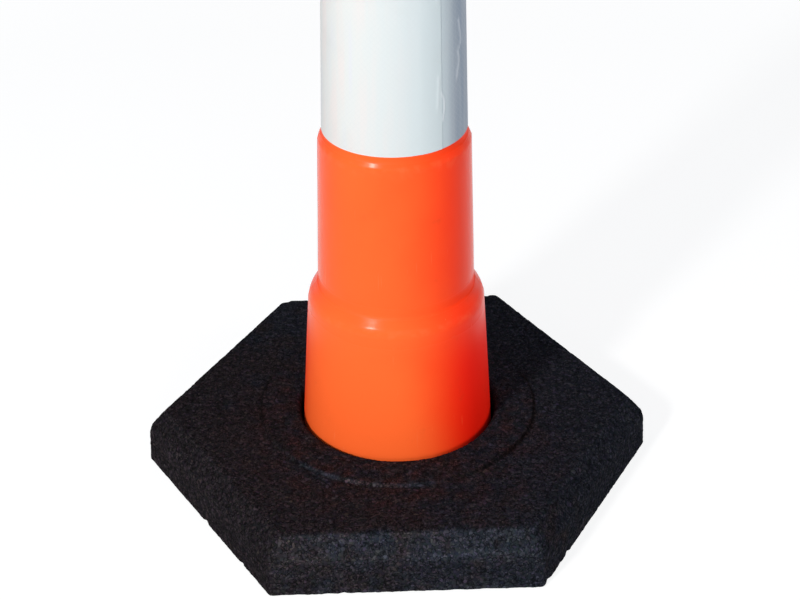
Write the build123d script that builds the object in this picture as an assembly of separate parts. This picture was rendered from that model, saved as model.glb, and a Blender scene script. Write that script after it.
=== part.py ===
from build123d import *

import math
import os

# Six-sided rubber base dropped over a short orange delineator post with a white reflective band.
# Millimetres, +Z up, origin on the ground under the post's axis, two points of the hexagon on the X axis.

# Rubber base
base_across_points = 381.0
base_thickness = 45.0
wall_height = 30.0
wall_draft = 1.6
bevel_inset = 11.5
corner_round = 3.0
bevel_round = 2.0
ground_round = 1.5
boss_radius = 104.0
boss_height = 2.0
boss_slope = 1.5
boss_round = 1.0

# Hole through the base, with the counterbore that takes the post's flange
bore_radius = 72.9
bore_mouth_round = 5.0
counterbore_radius = 84.0
counterbore_depth = 8.0

# Post: a hollow moulding, open at its foot
post_height = 457.2
post_wall = 3.0
flange_radius = 82.0
flange_thickness = 5.0
skirt_radius_at_ground = 72.85
skirt_taper = 0.063
tube_radius_at_ground = 60.56
tube_taper = 0.027
shoulder_start = 146.6
shoulder_rise = 9.8
shoulder_round = 14.0
shoulder_root_round = 1.5
rim_start = 270.5
rim_rise = 4.9
rim_round = 4.5
top_round = 9.0
top_crown = 2.5
slope_drop = 0.3
inner_round = 2.0

# Reflective band, wrapped in the post's recess with a bare strip left at each end
band_width = 152.4
band_thickness = 0.5
band_margin = 4.4
band_glue_line = 0.05
band_radius_at_ground = 57.9
band_taper = 0.025
seam_angle = -53.0
seam_overlap = 14.0

os.makedirs("parts", exist_ok=True)


def skirt_radius(height):
    return skirt_radius_at_ground - skirt_taper * height


def tube_radius(height):
    return tube_radius_at_ground - tube_taper * height


def band_radius(height):
    return band_radius_at_ground - band_taper * height


def recess_radius(height):
    return band_radius(height) - band_thickness - band_glue_line


def turned(corners, rounds):
    """Solid of revolution about Z from a rounded outline of (radius, height) corners that starts and ends on the axis."""
    outline = FilletPolyline([(radius, 0, height) for radius, height in corners], radius=rounds)
    axis_line = Line(outline @ 1, outline @ 0)
    return revolve(make_face(outline + axis_line), Axis.Z)


def hexagon(across_flats, height):
    """Regular hexagon with two points on the X axis."""
    return Plane.XY.offset(height) * RegularPolygon(across_flats / 2, 6, major_radius=False)


def make_base():
    flats = base_across_points * math.cos(math.radians(30))
    foot = hexagon(flats, 0)
    waist = hexagon(flats - 2 * wall_draft, wall_height)
    crown = hexagon(flats - 2 * wall_draft - 2 * bevel_inset, base_thickness)
    body = loft([foot, waist], ruled=True) + loft([waist, crown], ruled=True)
    corners = body.edges().filter_by(lambda edge: abs((edge @ 0 - edge @ 1).Z) > 1)
    body = fillet(corners, corner_round)
    waist_and_crown = body.edges().filter_by(lambda edge: edge.bounding_box().size.Z < 0.01 and edge.center().Z > 1)
    body = fillet(waist_and_crown, bevel_round)
    body = fillet(body.edges().group_by(Axis.Z)[0], ground_round)
    boss_top = base_thickness + boss_height
    boss = turned(
        [(0, wall_height), (boss_radius, wall_height), (boss_radius, base_thickness),
         (boss_radius - boss_slope, boss_top), (0, boss_top)],
        [0, 0, boss_round],
    )
    hole = turned(
        [(0, 0), (counterbore_radius, 0), (counterbore_radius, counterbore_depth),
         (bore_radius, counterbore_depth), (bore_radius, boss_top), (0, boss_top)],
        [0, inner_round, 0, 0],
    )
    body = body + boss - hole
    mouth = body.edges().filter_by(GeomType.CIRCLE).filter_by(
        lambda edge: abs(edge.radius - bore_radius) < 0.01 and abs(edge.center().Z - boss_top) < 0.01)
    return fillet(mouth, bore_mouth_round)


def post_corners(inset):
    """Outline of the post, moved in by the wall thickness for its hollow inside, and down less to keep its slopes even."""
    shoulder_top = shoulder_start + shoulder_rise
    recess_low = rim_start + rim_rise
    recess_high = recess_low + band_width + 2 * band_margin
    lip = recess_high + rim_rise
    drop = slope_drop * inset
    return [
        (skirt_radius(shoulder_start) - inset, shoulder_start - drop),
        (tube_radius(shoulder_top) - inset, shoulder_top - drop),
        (tube_radius(rim_start) - inset, rim_start - drop),
        (recess_radius(recess_low) - inset, recess_low - drop),
        (recess_radius(recess_high) - inset, recess_high + drop),
        (tube_radius(lip) - inset, lip + drop),
        (tube_radius(post_height) - inset, post_height - top_crown - inset),
        (0, post_height - inset),
    ]


def make_post():
    foot = [(0, 0), (flange_radius, 0), (flange_radius, flange_thickness),
            (skirt_radius(flange_thickness), flange_thickness)]
    outer = turned(
        foot + post_corners(0),
        [0, ground_round, inner_round, shoulder_round, shoulder_root_round] + 4 * [rim_round] + [top_round],
    )
    inner = turned(
        [(0, 0), (skirt_radius(0) - post_wall, 0)] + post_corners(post_wall),
        [0, shoulder_round, shoulder_root_round] + 4 * [rim_round] + [top_round - post_wall],
    )
    return outer - inner


def make_band():
    low = rim_start + rim_rise + band_margin
    high = low + band_width

    def layer(depth, arc, turn):
        section = Polyline(
            (band_radius(low) - depth, 0, low),
            (band_radius(low) - depth + band_thickness, 0, low),
            (band_radius(high) - depth + band_thickness, 0, high),
            (band_radius(high) - depth, 0, high),
            close=True,
        )
        return Rot(0, 0, turn) * revolve(make_face(section), Axis.Z, arc)

    overlap_arc = math.degrees(seam_overlap / band_radius(low))
    return layer(band_thickness, 360.0, 0) + layer(0, overlap_arc, seam_angle - overlap_arc)


export_step(make_base(), "parts/rubber_base.step")
export_step(make_post(), "parts/delineator_post.step")
export_step(make_band(), "parts/reflective_band.step")
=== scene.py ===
import math
import random

import bmesh
import bpy
from mathutils import Matrix, Vector, kdtree, noise


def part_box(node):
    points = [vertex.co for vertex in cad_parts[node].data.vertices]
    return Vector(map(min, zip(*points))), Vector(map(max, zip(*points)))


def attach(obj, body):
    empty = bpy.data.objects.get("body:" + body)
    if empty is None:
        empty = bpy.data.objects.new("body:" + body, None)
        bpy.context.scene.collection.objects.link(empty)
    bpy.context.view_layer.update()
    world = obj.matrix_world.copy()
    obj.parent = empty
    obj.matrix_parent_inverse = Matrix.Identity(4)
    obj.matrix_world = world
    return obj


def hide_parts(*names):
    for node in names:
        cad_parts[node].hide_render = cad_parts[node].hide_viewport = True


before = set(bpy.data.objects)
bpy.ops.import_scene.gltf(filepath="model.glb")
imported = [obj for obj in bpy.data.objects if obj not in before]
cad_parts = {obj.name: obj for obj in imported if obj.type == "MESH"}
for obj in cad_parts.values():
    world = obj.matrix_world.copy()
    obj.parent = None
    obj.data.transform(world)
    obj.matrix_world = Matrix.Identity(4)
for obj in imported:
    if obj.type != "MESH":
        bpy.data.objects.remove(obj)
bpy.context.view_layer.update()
print("frame loaded:", ", ".join(sorted(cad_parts)))

sixth = math.tau / 6
up = (0, 0, 1)
white = (1, 1, 1, 1)


# A socket that takes part in Python maths, and makes any other node
class Wire:
    def __init__(self, tree, socket=None):
        self.tree = tree
        self.socket = socket

    def node(self, kind, settings, sockets, output=0):
        made = self.tree.nodes.new("ShaderNode" + kind)
        for name, value in settings.items():
            setattr(made, name, value)
        for key, value in sockets.items():
            if isinstance(value, Wire):
                self.tree.links.new(value.socket, made.inputs[key])
            else:
                made.inputs[key].default_value = value
        return Wire(self.tree, made.outputs[output])

    def other(self, output):  # another output of the same node
        return Wire(self.tree, self.socket.node.outputs[output])

    def feed(self, socket):
        self.tree.links.new(self.socket, socket)

    def maths(self, operation, first, second):
        return self.node("Math", {"operation": operation}, {0: first, 1: second})

    def __add__(self, more):
        return self.maths("ADD", self, more)

    def __sub__(self, less):
        return self.maths("SUBTRACT", self, less)

    def __rsub__(self, start):
        return self.maths("SUBTRACT", start, self)

    def __mul__(self, factor):
        return self.maths("MULTIPLY", self, factor)

    __radd__ = __add__
    __rmul__ = __mul__

    def scaled(self, start, gain):  # start where this is 0, and gain more where it is 1
        return start + gain * self

    def ramp(self, low, high):  # 0 below low, 1 above high, smooth between
        return self.node("MapRange", {"interpolation_type": "SMOOTHSTEP"},
                         {"Value": self, "From Min": low, "From Max": high}, "Result")

    def blend(self, first, second):  # first colour where this is 0, second where it is 1
        return self.node("Mix", {"data_type": "RGBA"}, {0: self, 6: first, 7: second}, 2)

    def times(self, colour):  # this colour, or grey value, times a colour
        return self.node("Mix", {"data_type": "RGBA", "blend_type": "MULTIPLY"},
                         {0: 1.0, 6: self, 7: colour}, 2)

    def paler(self, share):  # white, with a share of this colour in it
        return self.node("Mix", {"data_type": "RGBA"}, {0: share, 6: white, 7: self}, 2)

    def channel(self, name):
        return self.node("SeparateColor", {}, {"Color": self}, name)

    def stretched(self, scale):
        return self.node("Mapping", {}, {"Vector": self, "Scale": scale})

    def length(self):
        return self.node("VectorMath", {"operation": "LENGTH"}, {0: self}, "Value")

    def along(self, direction):
        return self.node("VectorMath", {"operation": "DOT_PRODUCT"}, {0: self, 1: direction}, "Value")

    def cloud(self, size, detail=2.0, rough=0.5):
        return self.node("TexNoise", {}, {"Vector": self, "Scale": 1 / size,
                                          "Detail": detail, "Roughness": rough})

    def cells(self, size, feature="F1"):
        return self.node("TexVoronoi", {"feature": feature},
                         {"Vector": self, "Scale": 1 / size}, "Distance")

    def bump(self, height, depth, strength):
        return self.node("Bump", {}, {"Strength": strength, "Distance": depth, "Height": height})


def startMaterial(name, fixed):
    material = bpy.data.materials.new(name)
    material.use_nodes = True
    tree = material.node_tree
    shader = tree.nodes["Principled BSDF"]
    for socket, value in fixed.items():
        shader.inputs[socket].default_value = value
    return material, shader, Wire(tree).node("TexCoord", {}, {}, "Object")


def attribute(place, name):
    return place.node("Attribute", {"attribute_name": name}, {}, "Fac")


# Section outlines in the XZ plane, as (radius, height, rounding) corners, spun about the Z axis
def drawSection(bm, corners, closed, roundStep):
    verts = [bm.verts.new((radius, 0, height)) for radius, height, rounding in corners]
    ends = verts[1:] + verts[:1] if closed else verts[1:]
    for start, end in zip(verts, ends):
        bm.edges.new((start, end))
    for vert, (radius, height, rounding) in zip(verts, corners):
        if rounding:
            turn = vert.calc_edge_angle()
            segments = max(3, math.ceil(rounding * turn / roundStep))
            bmesh.ops.bevel(bm, geom=[vert], offset=rounding * math.tan(turn / 2),
                            offset_type="OFFSET", affect="VERTICES", segments=segments,
                            profile=0.5, material=-1)


def divideSection(bm, stepAt):
    for edge in list(bm.edges):
        middle = (edge.verts[0].co + edge.verts[1].co) / 2
        cuts = math.ceil(edge.calc_length() / stepAt(middle.x, middle.z)) - 1
        if cuts > 0:
            bmesh.ops.subdivide_edges(bm, edges=[edge], cuts=cuts)


# A sixth is spun and copied round, which is quicker than one long spin
def spinSection(bm, columns):
    bmesh.ops.spin(bm, geom=bm.verts[:] + bm.edges[:], cent=(0, 0, 0), axis=up,
                   angle=sixth, steps=columns // 6)
    bmesh.ops.spin(bm, geom=bm.verts[:] + bm.edges[:] + bm.faces[:], cent=(0, 0, 0), axis=up,
                   angle=5 * sixth, steps=5, use_duplicate=True)
    bmesh.ops.remove_doubles(bm, verts=bm.verts[:], dist=2e-6)
    bmesh.ops.recalc_face_normals(bm, faces=bm.faces[:])


def finishPiece(name, bm, material, body, node):
    mesh = bpy.data.meshes.new(name)
    bm.to_mesh(mesh)
    bm.free()
    mesh.shade_smooth()
    mesh.materials.append(material)
    piece = bpy.data.objects.new(name, mesh)
    bpy.context.scene.collection.objects.link(piece)
    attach(piece, body)
    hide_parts(node)
    print(name, "has", sum(len(face.vertices) - 2 for face in mesh.polygons), "triangles")


def smooth(value, low, high):
    part = min(max((value - low) / (high - low), 0), 1)
    return part * part * (3 - 2 * part)


def bell(distance, width):
    return math.exp(-(distance / width) ** 2)


def fromAngles(azimuth, elevation):  # azimuth 0 is the front, -Y
    turn = math.radians(azimuth)
    rise = math.radians(elevation)
    level = math.cos(rise)
    return Vector((math.sin(turn) * level, -math.cos(turn) * level, math.sin(rise)))


# Camera at the photograph's viewing angle
cameraSet = {
    "target": (0.00269, -0.0001, 0.1364),
    "distance": 1.3161,
    "azimuth": -2.0,
    "elevation": 31.76,
    "roll": -0.54,
    "lens": 81.1,
    "sensorWidth": 36,
}


def makeCamera(v):
    back = fromAngles(v["azimuth"], v["elevation"])
    right = Vector(up).cross(back).normalized()
    axes = Matrix((right, back.cross(right), back)).transposed()
    data = bpy.data.cameras.new("photoCamera")
    data.sensor_fit = "HORIZONTAL"
    data.sensor_width = v["sensorWidth"]
    data.lens = v["lens"]
    camera = bpy.data.objects.new("photoCamera", data)
    camera.matrix_world = (Matrix.Translation(Vector(v["target"]) + back * v["distance"])
                           @ axes.to_4x4() @ Matrix.Rotation(math.radians(v["roll"]), 4, "Z"))
    bpy.context.scene.collection.objects.link(camera)
    bpy.context.scene.camera = camera


makeCamera(cameraSet)
print("camera placed")


# Crumb rubber base: its section is spun, then pulled out from a circle to a hexagon.
# Each cloud is a noise texture: its size, then its detail and roughness where they are set.
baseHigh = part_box("rubber_base")[1]
rubberBase = {
    "columns": 708,  # a multiple of six, so that every corner has a column
    "step": 0.0016,
    "hiddenStep": 0.006,  # in the hole and underneath, within this radius and below this height
    "hiddenRadius": 0.075,
    "hiddenHeight": 0.0003,
    "roundStep": 0.0011,

    # section
    "halfFlat": baseHigh.y,
    "bossTop": baseHigh.z,
    "bossHeight": 0.002,
    "bossRadius": 0.104,
    "bossSlope": 0.0015,
    "bossRound": 0.001,
    "wallHeight": 0.030,
    "draft": 0.0016,
    "bevelInset": 0.0115,
    "bevelRound": 0.002,
    "groundRound": 0.0015,
    "boreRadius": 0.0729,
    "mouthRound": 0.005,
    "counterbore": 0.084,
    "counterboreDepth": 0.008,
    "counterboreRound": 0.002,
    "smallRound": 0.0006,
    "cornerSharpness": 240,

    # wear and painted light: above 0 paler, from edge wear and painted highlights; below 0 painted
    # shade, darker than the top
    "edgeWear": 0.15,
    "edgeWidth": 0.0035,
    "cornerFrom": 0.99,  # corners are worn where the pull to a hexagon is past this
    "cornerWidth": 0.005,
    # painted light on the boss's edge: painted shade all round, and a painted highlight on the side
    # towards the lamp
    "ringShade": -0.6,
    "ringLit": 1.6,
    "ringLitAt": -109,  # degrees about Z, where the painted highlight on the boss's edge is palest, facing the lamp
    "ringSpan": 0.62,
    "ringWidth": 0.0018,
    # the front flat is worn and painted paler, towards the lamp; the other flats get painted shade
    "sideShade": -0.14,
    "sideWornLit": 0.7,
    "sideEdge": 0.3,  # how much more of it a side has at its edges
    "wornLitFlat": -90,  # the side of the hexagon that is worn and painted palest, the front, turned towards the lamp
    "flatBlend": 0.05,
    "footWear": 0.6,  # of a side's wear and painted light, what is left near the ground
    "footReach": 0.7,  # of the wall's height

    # granules and torn edges
    "grain": 0.0042,
    "grainDepth": 0.00035,
    "grainGap": (0.02, 0.45),
    "grainPatch": 0.022,
    "grainPatchRange": (-0.5, 0.6),
    "leastGrain": 0.35,
    "crumble": 0.0009,
    "crumbleSize": 0.0085,
    "crumbleShift": (3, 7, 1),
    "crumbleRange": (0.25, 0.9),
    "chips": 130,
    "chipEdges": (0, 0, 0, 1, 1, 2),  # top, wall and ground edge, as often as each is chipped
    "chipSize": (0.0016, 0.0042),
    "chipDepth": (0.2, 0.45),  # of its size
    "seed": 11,

    # colour
    "skin": (0.0222, 0.0203, 0.0224, 1),
    # paler colour for edge wear and for painted light
    "worn": (0.0445, 0.0437, 0.0475, 1),
    "wornCloud": (0.009, 3.0),
    "wornUneven": (0.45, 0.75),  # start and gain
    "wornRange": (0.08, 0.75),
    "shadeDepth": 0.65,  # how much darker the painted shade makes the flats and the boss's edge away from the lamp
    "shadeRange": (0.0, 0.6),
    "warm": (1.07, 0.99, 1.03, 1),
    "cool": (0.89, 1.05, 1.27, 1),
    "coolShadeSide": (2.0, 1.2, 0.0),  # painted cool shade: the way that the bluer side lies, away from the lamp, per metre
    "coolWorn": 0.7,
    "coolStart": 0.08,
    "coolCloud": (0.018,),
    "coolRange": (0.33, 0.67),
    "orangeBounce": (0.046, 0.0170, 0.0125, 1),  # painted orange glow of light bounced off the post, round the hole and in front
    "orangeBounceShift": (0.0, 0.03, 0.0),
    "orangeBounceFade": (0.06, 0.15),
    "orangeBounceCloud": (0.012, 4.0),
    "orangeBounceRange": (0.35, 0.75),
    "orangeBounceShare": 0.62,
    "speck": (0.16, 0.16, 0.165, 1),
    "speckGrid": 0.0052,
    "speckRange": (0.05, 0.13),
    "speckChosen": (0.86, 0.9),
    "speckWorn": (0.25, 0.75),  # start and gain

    # texture
    "coarse": 0.0023,  # granules of two sizes, in patches
    "fine": 0.0012,
    "patchCloud": (0.006,),
    "patchRange": (0.49, 0.51),
    "ragged": (0.002, 0.002, 0.002),  # how far the granules' edges wander
    "raggedCloud": (0.004,),
    "granuleShade": (0.66, 1.05),  # start and gain
    "granuleTint": 0.22,  # how far single granules differ in colour
    "granuleGloss": 0.3,
    "granuleHeight": 0.7,
    "poreCloud": (0.0032, 3.0, 0.6),
    "poreUneven": 0.9,
    "poreRange": (0.44, 0.56),
    "poreShade": 0.6,
    "poreDepth": 0.5,
    "pittingCloud": (0.0011, 3.0, 0.6),
    "pittingHeight": 0.5,
    "roughness": 0.95,
    "wornGloss": 0.08,
    "bumpDepth": 0.0009,
    "bumpStrength": 0.9,
    "fixed": {"Specular IOR Level": 0.008},
}


def hexReach(angle, sharpness):  # a rounded hexagon whose flats are one away from the middle
    total = 0
    for flat in (30, 90, 150):
        total += abs(math.cos(angle - math.radians(flat))) ** sharpness
    return total ** (-1 / sharpness)


def cornerGap(angle):  # angle to the nearest corner of the hexagon
    return abs((angle + sixth / 2) % sixth - sixth / 2)


def awayFrom(angle, degrees):
    return math.remainder(angle - math.radians(degrees), math.tau)


def makeBase(v):
    top = v["bossTop"] - v["bossHeight"]
    waist = v["halfFlat"] - v["draft"]
    crown = waist - v["bevelInset"]
    edges = [(crown, top), (waist, v["wallHeight"]), (v["halfFlat"], 0)]
    bossEdge = (v["bossRadius"] - v["bossSlope"] / 2, v["bossTop"] - v["bossHeight"] / 2)

    def stepAt(radius, height):
        seen = radius > v["hiddenRadius"] and height > v["hiddenHeight"]
        return v["step"] if seen else v["hiddenStep"]

    bm = bmesh.new()
    drawSection(bm, [
        (v["boreRadius"], v["counterboreDepth"], v["smallRound"]),
        (v["boreRadius"], v["bossTop"], v["mouthRound"]),
        (v["bossRadius"] - v["bossSlope"], v["bossTop"], v["bossRound"]),
        (v["bossRadius"], top, v["smallRound"]),
        (crown, top, v["bevelRound"]),
        (waist, v["wallHeight"], v["bevelRound"]),
        (v["halfFlat"], 0, v["groundRound"]),
        (v["counterbore"], 0, v["smallRound"]),
        (v["counterbore"], v["counterboreDepth"], v["counterboreRound"]),
    ], closed=True, roundStep=v["roundStep"])
    divideSection(bm, stepAt)
    spinSection(bm, v["columns"])

    # wear with painted light and shade, and the pull out to a hexagon
    wearAndPaintedLight = bm.verts.layers.float.new("wearAndPaintedLight")
    for vert in bm.verts:
        radius = vert.co.xy.length
        height = vert.co.z
        angle = math.atan2(vert.co.y, vert.co.x)
        edge = max(bell(math.hypot(radius - r, height - z), v["edgeWidth"]) for r, z in edges)
        pull = smooth(radius, v["bossRadius"], crown)
        if pull > v["cornerFrom"]:
            edge = max(edge, bell(cornerGap(angle) * v["halfFlat"], v["cornerWidth"]))
        # painted highlight on the boss's edge towards the lamp, painted shade on the rest of it
        lightened = bell(awayFrom(angle, v["ringLitAt"]), v["ringSpan"])
        ring = v["ringShade"] + v["ringLit"] * lightened
        ring *= bell(math.hypot(radius - bossEdge[0], height - bossEdge[1]), v["ringWidth"])
        # the front flat is worn and painted paler, towards the lamp; the other flats get painted
        # shade
        inFlat = sixth / 2 - abs(awayFrom(angle, v["wornLitFlat"]))
        side = v["sideShade"] + v["sideWornLit"] * smooth(inFlat, -v["flatBlend"], v["flatBlend"])
        side *= smooth(radius, crown, crown + v["bevelRound"])
        above = smooth(height, v["footReach"] * v["wallHeight"], top)
        side *= v["footWear"] + (1 - v["footWear"]) * above
        vert[wearAndPaintedLight] = v["edgeWear"] * edge + side * (1 + v["sideEdge"] * edge) + ring
        reach = 1 + pull * (hexReach(angle, v["cornerSharpness"]) - 1)
        vert.co.x *= reach
        vert.co.y *= reach
    bm.normal_update()

    # granules pressed together: pits where they meet, edges that have crumbled a little
    shift = Vector(v["crumbleShift"])
    for vert in bm.verts:
        place = vert.co.copy()
        near = noise.voronoi(place / v["grain"])[0]
        patch = smooth(noise.noise(place / v["grainPatch"]), *v["grainPatchRange"])
        pit = 1 - smooth(near[1] - near[0], *v["grainGap"])
        pit *= v["leastGrain"] + (1 - v["leastGrain"]) * patch
        rough = 0.5 + 0.5 * noise.noise(place / v["crumbleSize"] + shift)
        crumbled = max(vert[wearAndPaintedLight], 0) * smooth(rough, *v["crumbleRange"])
        vert.co -= vert.normal * (v["grainDepth"] * pit + v["crumble"] * crumbled)

    # single granules torn out of the edges
    tree = kdtree.KDTree(len(bm.verts))
    bm.verts.ensure_lookup_table()
    for vert in bm.verts:
        tree.insert(vert.co, vert.index)
    tree.balance()
    draw = random.Random(v["seed"])
    for chip in range(v["chips"]):
        r, z = edges[draw.choice(v["chipEdges"])]
        angle = draw.uniform(0, math.tau)
        size = draw.uniform(*v["chipSize"])
        depth = draw.uniform(*v["chipDepth"]) * size
        r *= hexReach(angle, v["cornerSharpness"])
        centre = Vector((r * math.cos(angle), r * math.sin(angle), z))
        for place, index, gap in tree.find_range(centre, size):
            vert = bm.verts[index]
            vert.co -= vert.normal * depth * (1 - (gap / size) ** 2)
    bm.normal_update()
    return bm


def rubberMaterial(v):
    material, shader, place = startMaterial("crumbRubber", v["fixed"])
    wearAndPaintedLight = attribute(place, "wearAndPaintedLight")
    wander = place.cloud(*v["raggedCloud"]).other("Color")
    ragged = place.node("VectorMath", {"operation": "MULTIPLY_ADD"},
                        {0: wander, 1: v["ragged"], 2: place})
    coarse = ragged.cells(v["coarse"])
    fine = ragged.cells(v["fine"])
    patch = place.cloud(*v["patchCloud"]).ramp(*v["patchRange"])
    granules = coarse + patch * (fine - coarse)
    tint = patch.blend(coarse.other("Color"), fine.other("Color"))
    shade = tint.channel("Red")

    # painted shade in uneven gaps between the granules
    gaps = ragged.cells(v["coarse"], "DISTANCE_TO_EDGE")
    gaps = gaps + v["poreUneven"] * place.cloud(*v["poreCloud"])
    pores = 1 - gaps.ramp(*v["poreRange"])

    # paler where worn, and where painted light falls on the boss's edge and the front flat
    lightened = wearAndPaintedLight * place.cloud(*v["wornCloud"]).scaled(*v["wornUneven"])
    lightened = lightened.ramp(*v["wornRange"])
    # painted shade where the attribute is below 0
    shaded = (-1 * wearAndPaintedLight).ramp(*v["shadeRange"])
    # painted cool shade, bluer away from the lamp, with random patches and more on part-worn rubber
    cool = place.cloud(*v["coolCloud"]) + place.along(v["coolShadeSide"])
    cool = (cool + v["coolWorn"] * wearAndPaintedLight * (1 - wearAndPaintedLight) + v["coolStart"]).ramp(*v["coolRange"])
    # painted orange bounce light off the post, round the hole and in front
    fromHole = place.node("Mapping", {}, {"Vector": place, "Location": v["orangeBounceShift"],
                                          "Scale": (1, 1, 0)})
    orangeBounce = 1 - fromHole.length().ramp(*v["orangeBounceFade"])
    orangeBounce = orangeBounce * place.cloud(*v["orangeBounceCloud"]).ramp(*v["orangeBounceRange"]) * v["orangeBounceShare"]

    base = orangeBounce.blend(lightened.blend(v["skin"], v["worn"]), v["orangeBounce"])
    dark = (1 - v["shadeDepth"] * shaded) * (1 - v["poreShade"] * pores)
    base = ((shade * shade * shade).scaled(*v["granuleShade"]) * dark).times(base)
    base = base.times(cool.blend(v["warm"], v["cool"]))
    base = base.times(tint.paler(v["granuleTint"]))
    dots = place.cells(v["speckGrid"])
    chosen = dots.other("Color").channel("Green").ramp(*v["speckChosen"])
    speck = (1 - dots.ramp(*v["speckRange"])) * chosen * lightened.scaled(*v["speckWorn"])
    speck.blend(base, v["speck"]).feed(shader.inputs["Base Color"])

    rough = v["roughness"] - v["granuleGloss"] * shade - v["wornGloss"] * lightened
    rough.feed(shader.inputs["Roughness"])
    height = v["granuleHeight"] * (1 - granules) - v["poreDepth"] * pores
    height = height + v["pittingHeight"] * place.cloud(*v["pittingCloud"])
    place.bump(height, v["bumpDepth"], v["bumpStrength"]).feed(shader.inputs["Normal"])
    return material


finishPiece("crumbRubberBase", makeBase(rubberBase), rubberMaterial(rubberBase),
            "base", "rubber_base")


# Orange post: one hollow moulding, spun from its outer and inner outline
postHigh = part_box("delineator_post")[1]
bandLow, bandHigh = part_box("reflective_band")
orangePost = {
    "columns": 360,
    "step": 0.009,
    "slopeStep": 0.0008,  # on the shoulder and the rims, so that their shading is true
    "slopeReach": 0.004,  # how far above a slope that goes on
    "roundStep": 0.0006,

    # section
    "top": postHigh.z,
    "flangeRadius": postHigh.x,
    "flangeThickness": 0.005,
    "flangeLowRound": 0.0008,
    "flangeHighRound": 0.0015,
    "flangeRootRound": 0.002,
    "wall": 0.003,
    "wallDrop": 0.3,  # keeps the wall even on the slopes
    "skirtRadius": 0.07285,
    "skirtTaper": 0.063,
    "tubeRadius": 0.06056,
    "tubeTaper": 0.027,
    "recessRadius": 0.05735,
    "recessTaper": 0.025,
    "shoulderStart": 0.1466,
    "shoulderRise": 0.0098,
    "shoulderRound": 0.014,
    "rootRound": 0.0015,
    "rimRise": 0.0049,
    "rimRound": 0.0045,
    "bandMargin": 0.0044,  # bare strip of the recess above and below the sheeting
    "bandLow": bandLow.z,
    "bandHigh": bandHigh.z,
    "topRound": 0.009,
    "crown": 0.0025,

    # surface
    "outwardFrom": 0.05,  # the outside's normals point out or up by more than these
    "upwardFrom": 0.5,
    "scuffWidth": 0.003,
    "dustWidth": 0.0016,
    "seamRidge": 0.00028,  # mould parting line, left and right
    "seamWidth": 0.0006,
    "waviness": 0.00012,
    "waveSize": 0.045,
    "smoothMargin": 0.002,  # no ridge or wave this near the flange and the sheeting

    # colour
    # painted light: a paler orange on the side towards the lamp, a deeper red away from it
    "awayOrange": (1.0, 0.044, 0.006, 1),
    "litPale": (1.0, 0.138, 0.026, 1),
    "lampSide": (-0.52, -0.85, 0.0),  # painted light: the way that the paler side faces, towards the lamp
    "litPaleRange": (0.018, 0.076),
    "mottleCloud": (0.05, 3.0),
    "mottleShift": 0.02,
    "shadeRed": (1.0, 0.010, 0.003, 1),  # painted shade: a deeper red low down on the side away from the lamp
    "shadeRedHeight": (0.10, 0.17),
    "shadeRedSide": (0.006, 0.058),
    "shadeRedShare": 0.9,
    "scuff": (0.98, 0.22, 0.09, 1),
    "scuffCloud": (0.03,),
    "scuffRange": (0.5, 0.68),
    "scuffShare": 0.3,
    "streakStretch": (1.0, 1.0, 0.02),
    "streakCloud": (0.0016,),
    "streakRange": (0.66, 0.74),
    "edgeCloud": (0.006, 3.0),
    "edgeRange": (0.42, 0.68),
    "edgeShare": 0.14,
    "grime": (0.42, 0.055, 0.018, 1),
    "grimeCloud": (0.02, 4.0, 0.65),
    "grimeRange": (0.6, 0.82),
    "grimeShare": 0.16,

    # gloss
    "roughness": 0.19,
    "mottleRough": 0.08,
    "scuffRough": 0.2,
    "wornRough": 0.12,
    "grimeRough": 0.2,
    "dustyRange": (0.0, 0.7),
    "dustyRough": 0.3,  # in the inner corners
    "dulledHeight": (0.105, 0.146),
    "dulledRough": 0.3,  # low down, where the base slides on and off
    "peelCloud": (0.0045,),
    "peelHeight": 0.6,
    "flowStretch": (1.0, 1.0, 0.15),
    "flowCloud": (0.012, 1.0),
    "scuffHeight": 0.4,
    "bumpDepth": 0.00018,
    "bumpStrength": 0.5,
    "fixed": {"Specular IOR Level": 0.10},
}


def postCorners(v, inset):
    def along(radius, taper, height):
        return v[radius] - v[taper] * height - inset

    shoulderLow = v["shoulderStart"]
    shoulderTop = shoulderLow + v["shoulderRise"]
    recessLow = v["bandLow"] - v["bandMargin"]
    recessHigh = v["bandHigh"] + v["bandMargin"]
    rim = recessLow - v["rimRise"]
    lip = recessHigh + v["rimRise"]
    top = v["top"]
    drop = v["wallDrop"] * inset
    return [
        (along("skirtRadius", "skirtTaper", shoulderLow), shoulderLow - drop, v["shoulderRound"]),
        (along("tubeRadius", "tubeTaper", shoulderTop), shoulderTop - drop, v["rootRound"]),
        (along("tubeRadius", "tubeTaper", rim), rim - drop, v["rimRound"]),
        (along("recessRadius", "recessTaper", recessLow), recessLow - drop, v["rimRound"]),
        (along("recessRadius", "recessTaper", recessHigh), recessHigh + drop, v["rimRound"]),
        (along("tubeRadius", "tubeTaper", lip), lip + drop, v["rimRound"]),
        (along("tubeRadius", "tubeTaper", top), top - v["crown"] - inset, v["topRound"] - inset),
        (0, top - inset, 0),
    ]


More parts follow.
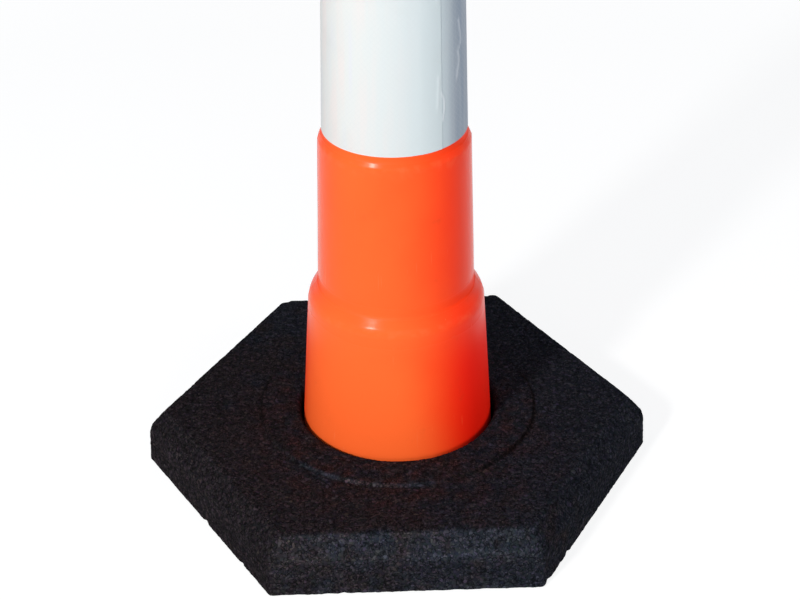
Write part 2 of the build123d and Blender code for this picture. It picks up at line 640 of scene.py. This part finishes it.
def makePost(v):
    flange = v["flangeThickness"]
    foot = [
        (v["skirtRadius"] - v["wall"], 0, 0),
        (v["flangeRadius"], 0, v["flangeLowRound"]),
        (v["flangeRadius"], flange, v["flangeHighRound"]),
        (v["skirtRadius"] - v["skirtTaper"] * flange, flange, v["flangeRootRound"]),
    ]
    outer = postCorners(v, 0)
    inner = postCorners(v, v["wall"])
    slopes = [(outer[i][1], outer[i + 1][1] + v["slopeReach"]) for i in (0, 2, 4)]

    def stepAt(radius, height):
        sloped = any(low < height < high for low, high in slopes)
        return v["slopeStep"] if sloped else v["step"]

    bm = bmesh.new()
    drawSection(bm, inner[::-1] + foot + outer, closed=False, roundStep=v["roundStep"])
    divideSection(bm, stepAt)
    spinSection(bm, v["columns"])

    # corners that stand out get scuffed, and dust settles in the others
    edges = []
    hollows = []
    points = [Vector((radius, height)) for radius, height, rounding in foot[-1:] + outer]
    for before, corner, after in zip(points, points[1:], points[2:]):
        standsOut = (corner - before).cross(after - corner) > 0
        (edges if standsOut else hollows).append(corner)
    rub = bm.verts.layers.float.new("rub")
    margin = v["smoothMargin"]
    for vert in bm.verts:
        place = vert.co.copy()
        outward = vert.normal.dot(Vector((place.x, place.y, 0)).normalized())
        if outward <= v["outwardFrom"] and vert.normal.z <= v["upwardFrom"]:
            continue  # inside the post
        spot = Vector((place.xy.length, place.z))
        vert[rub] = max(bell((spot - edge).length, v["scuffWidth"]) for edge in edges)
        vert[rub] -= max(bell((spot - hollow).length, v["dustWidth"]) for hollow in hollows)
        underBand = v["bandLow"] - margin < place.z < v["bandHigh"] + margin
        if place.z > flange + margin and not underBand:
            ridge = v["seamRidge"] * bell(place.y, v["seamWidth"])
            wave = v["waviness"] * noise.noise(place / v["waveSize"])
            vert.co += vert.normal * (ridge + wave)
    bm.normal_update()
    return bm


def orangeMaterial(v):
    material, shader, place = startMaterial("orangePlastic", v["fixed"])
    rub = attribute(place, "rub")
    height = place.along(up)
    # painted light: paler orange towards the lamp, deeper red away from it
    towardsLamp = place.along(v["lampSide"])
    mottle = place.cloud(*v["mottleCloud"])
    litPale = (towardsLamp + v["mottleShift"] * mottle).ramp(*v["litPaleRange"])
    # painted shade: deeper red low down, away from the lamp
    shadeRed = (1 - height.ramp(*v["shadeRedHeight"])) * (1 - towardsLamp.ramp(*v["shadeRedSide"]))
    base = (v["shadeRedShare"] * shadeRed).blend(litPale.blend(v["awayOrange"], v["litPale"]), v["shadeRed"])

    streaks = place.stretched(v["streakStretch"]).cloud(*v["streakCloud"]).ramp(*v["streakRange"])
    scuffed = streaks * place.cloud(*v["scuffCloud"]).ramp(*v["scuffRange"])
    worn = rub.ramp(0, 1) * place.cloud(*v["edgeCloud"]).ramp(*v["edgeRange"])
    worn = worn * v["edgeShare"] + scuffed * v["scuffShare"]
    grime = place.cloud(*v["grimeCloud"]).ramp(*v["grimeRange"]) * v["grimeShare"]
    base = grime.blend(worn.blend(base, v["scuff"]), v["grime"])
    base.feed(shader.inputs["Base Color"])

    dusty = (-1 * rub).ramp(*v["dustyRange"])
    dulled = 1 - height.ramp(*v["dulledHeight"])
    rough = v["roughness"] + v["mottleRough"] * mottle + v["scuffRough"] * scuffed
    rough = rough + v["wornRough"] * worn + v["grimeRough"] * grime
    rough = rough + v["dustyRough"] * dusty + v["dulledRough"] * dulled
    rough.feed(shader.inputs["Roughness"])
    peel = place.cloud(*v["peelCloud"]) * v["peelHeight"]
    flow = place.stretched(v["flowStretch"]).cloud(*v["flowCloud"])
    peel = peel + flow + scuffed * v["scuffHeight"]
    place.bump(peel, v["bumpDepth"], v["bumpStrength"]).feed(shader.inputs["Normal"])
    return material


finishPiece("orangePost", makePost(orangePost), orangeMaterial(orangePost),
            "post", "delineator_post")


# White reflective sheeting, wrapped round the post with its end lapped over its start
sheetingBand = {
    "columns": 560,
    "rows": 64,
    "low": bandLow.z,
    "high": bandHigh.z,
    "radius": orangePost["recessRadius"],
    "taper": orangePost["recessTaper"],
    "thickness": 0.00022,
    "glue": 0.00003,
    "seamAngle": -53.0,
    "overlap": 0.014,
    "lapRise": 1.08,  # of the thickness
    "lapRamp": 0.006,
    "endLift": 0.00008,
    "endReach": 0.0025,
    "endCurl": (0.55, 0.45),  # start and gain
    "endWave": 0.018,
    "endShift": 5,
    "askew": 0.0014,  # how much lower the wrap lies on one side
    "lowSide": 180,
    "jitter": 0.0007,  # of the creases
    "jitterWave": 0.005,
    "jitterShift": 9,
    "sharpAngle": 0.6,  # the film's cut edges
    # half width, lift and painted highlight of each crease, and the points that it follows,
    # each with its distance from the lapped end and its height
    "creases": [
        (0.0008, 0.00030, 0.6, [(-0.0002, 0.320), (-0.0029, 0.313), (-0.0010, 0.300)]),
        (0.0011, 0.00042, 0.42, [(-0.0186, 0.366), (-0.0218, 0.350), (-0.0172, 0.345),
                                 (-0.0189, 0.338), (-0.0153, 0.326)]),
        (0.0012, 0.00024, 0.28, [(0.0022, 0.332), (0.0030, 0.310)]),
        (0.0013, 0.00022, 0.28, [(0.0036, 0.412), (0.0026, 0.386)]),
    ],

    # colour
    "film": (0.735, 0.690, 0.665, 1),
    "greenish": (0.690, 0.703, 0.683, 1),
    "greenRange": (0.35, 0.6),
    "bluish": (0.680, 0.685, 0.715, 1),
    "blueRange": (0.55, 0.75),
    "hueStretch": (1.0, 0.12, 1.0),
    "hueCloud": (0.012,),
    "coolShade": (0.58, 0.65, 0.665, 1),  # painted cool shade towards the lapped end, fading towards the lamp
    "coolShadeWidth": 0.075,
    "coolShadeLap": 0.03,
    "dulled": (0.30, 0.355, 0.43, 1),  # painted shade past the lap, where the wrap began, on the side away from the lamp
    "dulledWidth": 0.085,
    "dulledRamp": 0.034,
    "dulledLap": 0.018,
    "lapUnshaded": 0.75,  # how much less painted shade there is right at the lap
    "streakStretch": (1.0, 0.06, 1.0),
    "streakCloud": (0.007, 3.0),
    "streakUneven": (0.5, 0.8),  # start and gain
    # painted highlight along the creases
    "creaseHighlight": (0.72, 0.75, 0.77, 1),
    "cell": 0.0032,
    "cellTurn": (0, 0, math.radians(45)),
    "line": (0.58, 0.61, 0.62, 1),
    "lineRange": (0.03, 0.1),
    "lineShare": 0.16,
    "grime": (0.50, 0.50, 0.49, 1),
    "grimeCloud": (0.03, 5.0, 0.6),
    "grimeRange": (0.55, 0.85),
    "grimeShare": 0.14,

    # gloss
    "roughness": 0.40,
    "hueRough": 0.12,
    "grimeRough": 0.3,
    "coat": 0.06,
    "lineCoat": 0.04,  # less of it on the lines
    "cellRange": (0.0, 0.12),
    "cellHeight": 0.5,
    "waveCloud": (0.012,),
    "waveHeight": 0.8,
    "bumpDepth": 0.00012,
    "bumpStrength": 0.4,
    "fixed": {"Specular IOR Level": 0.04, "Coat Roughness": 0.12},
}


def wrapRadius(v):  # of the recess at the sheeting's mid-height
    return v["radius"] - v["taper"] * (v["low"] + v["high"]) / 2


def strayFrom(point, line):  # distance to a line of straight runs
    gaps = []
    for start, end in zip(line, line[1:]):
        run = end - start
        part = min(max((point - start).dot(run) / run.length_squared, 0), 1)
        gaps.append((point - start - run * part).length)
    return min(gaps)


def ripple(height, wave, shift):  # between -1 and 1, up the sheeting
    return noise.noise(Vector((shift, 0, height / wave)))


def makeBand(v):
    middle = wrapRadius(v)
    around = math.tau * middle
    length = around + v["overlap"]
    width = v["high"] - v["low"]
    curlStart, curlGain = v["endCurl"]
    creases = []
    for halfWidth, rise, pale, line in v["creases"]:
        creases.append((halfWidth, rise, pale, [Vector(point) for point in line]))
    bm = bmesh.new()
    bmesh.ops.create_grid(bm, x_segments=v["columns"], y_segments=v["rows"], size=0.5, calc_uvs=True)
    sheet = bm.loops.layers.uv.verify()
    for face in bm.faces:
        for loop in face.loops:
            flat = loop.vert.co
            loop[sheet].uv = ((flat.x + 0.5) * length, (flat.y + 0.5) * width)
    # painted highlight along each crease
    creaseHighlight = bm.verts.layers.float.new("creaseHighlight")
    for vert in bm.verts:
        run = (vert.co.x + 0.5) * length  # from the lapped end
        height = v["low"] + (vert.co.y + 0.5) * width
        lapped = 1 - smooth(run, v["overlap"], v["overlap"] + v["lapRamp"])
        lift = v["thickness"] * v["lapRise"] * lapped
        curl = curlStart + curlGain * ripple(height, v["endWave"], v["endShift"])
        lift += v["endLift"] * math.exp(-run / v["endReach"]) * curl
        spot = Vector((run if run < around / 2 else run - around, height))
        spot.x += v["jitter"] * ripple(height, v["jitterWave"], v["jitterShift"])
        for halfWidth, rise, pale, line in creases:
            fold = bell(strayFrom(spot, line), halfWidth)
            lift += rise * fold
            vert[creaseHighlight] = max(vert[creaseHighlight], pale * fold)
        angle = math.radians(v["seamAngle"]) - run / middle
        height -= v["askew"] * (0.5 + 0.5 * math.cos(angle - math.radians(v["lowSide"])))
        radius = v["radius"] - v["taper"] * height + v["glue"] + v["thickness"] + lift
        vert.co = (radius * math.cos(angle), radius * math.sin(angle), height)
    bmesh.ops.recalc_face_normals(bm, faces=bm.faces[:])
    bm.faces.ensure_lookup_table()
    if bm.faces[0].normal.dot(bm.faces[0].calc_center_median()) < 0:
        bmesh.ops.reverse_faces(bm, faces=bm.faces[:])
    bmesh.ops.solidify(bm, geom=bm.faces[:], thickness=v["thickness"])
    for edge in bm.edges:
        if edge.is_manifold and edge.calc_face_angle() > v["sharpAngle"]:
            edge.smooth = False
    return bm


def sheetingMaterial(v):
    material, shader, place = startMaterial("whiteSheeting", v["fixed"])
    flat = place.node("UVMap", {}, {})
    run = flat.along((1, 0, 0))
    hue = flat.stretched(v["hueStretch"]).cloud(*v["hueCloud"])
    base = hue.ramp(*v["greenRange"]).blend(v["film"], v["greenish"])
    base = hue.ramp(*v["blueRange"]).blend(base, v["bluish"])

    # painted cool shade towards the lap, and painted shade past it where the wrap began, on the side
    # away from the lamp
    lapAt = math.tau * wrapRadius(v)
    # painted cool shade, strongest at the lap
    coolShade = 1 - run.ramp(0, v["coolShadeWidth"]) + run.ramp(lapAt - v["coolShadeLap"], lapAt)
    base = coolShade.blend(base, v["coolShade"])
    # painted shade past the lap, on the side away from the lamp
    dulledAt = lapAt - v["dulledWidth"]
    dulled = run.ramp(dulledAt, dulledAt + v["dulledRamp"])
    dulled = dulled * (1 - v["lapUnshaded"] * run.ramp(lapAt - v["dulledLap"], lapAt))
    streak = flat.stretched(v["streakStretch"]).cloud(*v["streakCloud"])
    base = (dulled * streak.scaled(*v["streakUneven"])).blend(base, v["dulled"])
    # painted highlight along the creases
    base = attribute(place, "creaseHighlight").blend(base, v["creaseHighlight"])

    # fine lattice of the film's cells
    turned = flat.node("Mapping", {}, {"Vector": flat, "Rotation": v["cellTurn"]})
    weave = turned.node("TexVoronoi", {"feature": "DISTANCE_TO_EDGE", "voronoi_dimensions": "2D"},
                        {"Vector": turned, "Scale": 1 / v["cell"], "Randomness": 0.0}, "Distance")
    line = 1 - weave.ramp(*v["lineRange"])
    base = (line * v["lineShare"]).blend(base, v["line"])
    grime = place.cloud(*v["grimeCloud"]).ramp(*v["grimeRange"]) * v["grimeShare"]
    grime.blend(base, v["grime"]).feed(shader.inputs["Base Color"])

    rough = v["roughness"] + v["hueRough"] * hue + v["grimeRough"] * grime
    rough.feed(shader.inputs["Roughness"])
    (v["coat"] - v["lineCoat"] * line).feed(shader.inputs["Coat Weight"])
    height = weave.ramp(*v["cellRange"]) * v["cellHeight"]
    height = height + place.cloud(*v["waveCloud"]) * v["waveHeight"]
    place.bump(height, v["bumpDepth"], v["bumpStrength"]).feed(shader.inputs["Normal"])
    return material


finishPiece("whiteSheeting", makeBand(sheetingBand), sheetingMaterial(sheetingBand),
            "post", "reflective_band")


# Floor, lamps and world
studio = {
    "floorSize": 6.0,
    "floorDrop": 0.0004,
    "floorFixed": {"Base Color": (0.65, 0.65, 0.65, 1), "Roughness": 0.9},
    "floorGlow": 1.3,
    "floorMask": 0.65,
    "floorFar": (0.8, 2.6),  # from here to there the floor turns plain white
    "skyColour": (0.27, 0.30, 0.345, 1),
    "lampTarget": (0, 0, 0.15),
    # name, azimuth and elevation that it comes from, distance, diameter, level, colour,
    # and whether it shines in gloss; the level times pi is what a face turned to the lamp gets
    "lamps": [
        ("softKey", -36, 31, 2.4, 0.24, 0.72, (1.0, 0.99, 0.97), True),
        ("frontFill", 6, 16, 2.6, 1.30, 0.20, (1.0, 0.99, 0.98), False),
        ("rightFill", 74, 14, 2.6, 1.30, 0.23, (1.0, 0.99, 0.98), False),
    ],
}


def seenWhite(tree):  # 1 for the rays that show the background
    seen = Wire(tree).node("LightPath", {}, {}, "Is Camera Ray")
    return seen + seen.other("Is Glossy Ray") + seen.other("Is Transmission Ray")


def makeFloor(v):
    bm = bmesh.new()
    bmesh.ops.create_grid(bm, x_segments=1, y_segments=1, size=v["floorSize"] / 2)
    bmesh.ops.translate(bm, verts=bm.verts[:], vec=(0, 0, -v["floorDrop"]))
    mesh = bpy.data.meshes.new("paleFloor")
    bm.to_mesh(mesh)
    bm.free()
    material, shader, place = startMaterial("paleFloor", v["floorFixed"])
    tree = material.node_tree
    glow = place.node("Emission", {}, {"Strength": v["floorGlow"]}, "Emission")
    far = place.length().ramp(*v["floorFar"])
    mask = seenWhite(tree) * (v["floorMask"] + (1 - v["floorMask"]) * far)
    both = place.node("MixShader", {}, {0: mask, 1: Wire(tree, shader.outputs[0]), 2: glow})
    both.feed(tree.nodes["Material Output"].inputs["Surface"])
    mesh.materials.append(material)
    floor = bpy.data.objects.new("paleFloor", mesh)
    bpy.context.scene.collection.objects.link(floor)


def makeWorld(v):
    world = bpy.data.worlds.new("paleRoom")
    world.use_nodes = True
    tree = world.node_tree
    sky = seenWhite(tree).blend(v["skyColour"], white)
    sky.feed(tree.nodes["Background"].inputs["Color"])
    bpy.context.scene.world = world


def makeLamp(target, name, azimuth, elevation, distance, size, level, colour, shines):
    towards = fromAngles(azimuth, elevation)
    data = bpy.data.lights.new(name, "AREA")
    data.shape = "DISK"
    data.size = size
    data.color = colour
    data.energy = level * math.pi ** 2 * distance ** 2
    lamp = bpy.data.objects.new(name, data)
    lamp.location = Vector(target) + towards * distance
    lamp.rotation_euler = towards.to_track_quat("Z", "Y").to_euler()
    lamp.visible_glossy = shines
    bpy.context.scene.collection.objects.link(lamp)


makeFloor(studio)
makeWorld(studio)
for lamp in studio["lamps"]:
    makeLamp(studio["lampTarget"], *lamp)
bpy.context.scene.view_settings.view_transform = "Standard"
print("studio lit")
